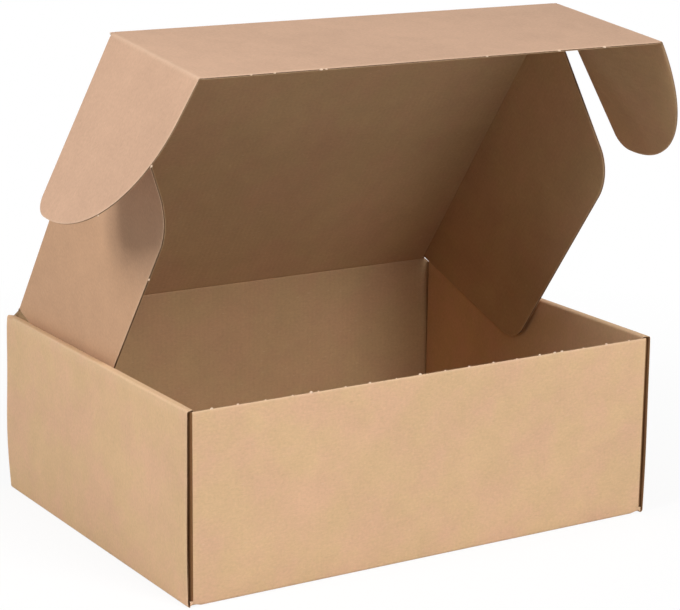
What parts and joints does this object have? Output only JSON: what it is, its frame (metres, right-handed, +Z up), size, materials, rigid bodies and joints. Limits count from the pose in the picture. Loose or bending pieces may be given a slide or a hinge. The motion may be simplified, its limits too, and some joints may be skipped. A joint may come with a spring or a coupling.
{
  "type": "corrugated mailer box",
  "caption": "Roll-end mailer box folded from one fluted blank, with a hinged lid, side dust flaps, a front tuck flap and locking ears.",
  "frame": {"origin": "middle of the underside of the tray, on the surface that it stands on", "axes": "+X along the front, to the right seen from the front; +Y from the front wall to the back wall, where the lid is hinged; +Z up"},
  "size_m": [0.3915, 0.2321, 0.2918],
  "materials": {
    "kraft_board": "uncoated brown kraft liner over fluting"
  },
  "bodies": {
    "tray": {"tray": "kraft_board"},
    "lid": {"lid": "kraft_board"},
    "left_dust_flap": {"left_dust_flap": "kraft_board"},
    "right_dust_flap": {"right_dust_flap": "kraft_board"},
    "tuck_flap": {"tuck_flap": "kraft_board"},
    "left_ear": {"left_ear": "kraft_board"},
    "right_ear": {"right_ear": "kraft_board"}
  },
  "joints": [
    {"name": "lid_fold", "type": "hinge", "parent": "tray", "child": "lid", "pos_m": [0, 0.1135, 0.1098], "axis": [-1, 0, 0], "range_deg": [-46, 126]},
    {"name": "left_dust_fold", "type": "hinge", "parent": "lid", "child": "left_dust_flap", "pos_m": [-0.144, 0.04557, 0.20074], "axis": [0, 0.5878, -0.809], "range_deg": [-75, 0]},
    {"name": "right_dust_fold", "type": "hinge", "parent": "lid", "child": "right_dust_flap", "pos_m": [0.144, 0.04557, 0.20074], "axis": [0, -0.5878, 0.809], "range_deg": [-75, 0]},
    {"name": "tuck_fold", "type": "hinge", "parent": "lid", "child": "tuck_flap", "pos_m": [0, -0.01875, 0.29183], "axis": [-1, 0, 0], "range_deg": [-37, 60]},
    {"name": "left_ear_fold", "type": "hinge", "parent": "tuck_flap", "child": "left_ear", "pos_m": [-0.1473, 0.09205, 0.30426], "axis": [0, 0.9938, 0.1115], "range_deg": [-27.7, 62]},
    {"name": "right_ear_fold", "type": "hinge", "parent": "tuck_flap", "child": "right_ear", "pos_m": [0.1473, 0.09205, 0.30426], "axis": [0, -0.9938, -0.1115], "range_deg": [-29.7, 60]}
  ]
}
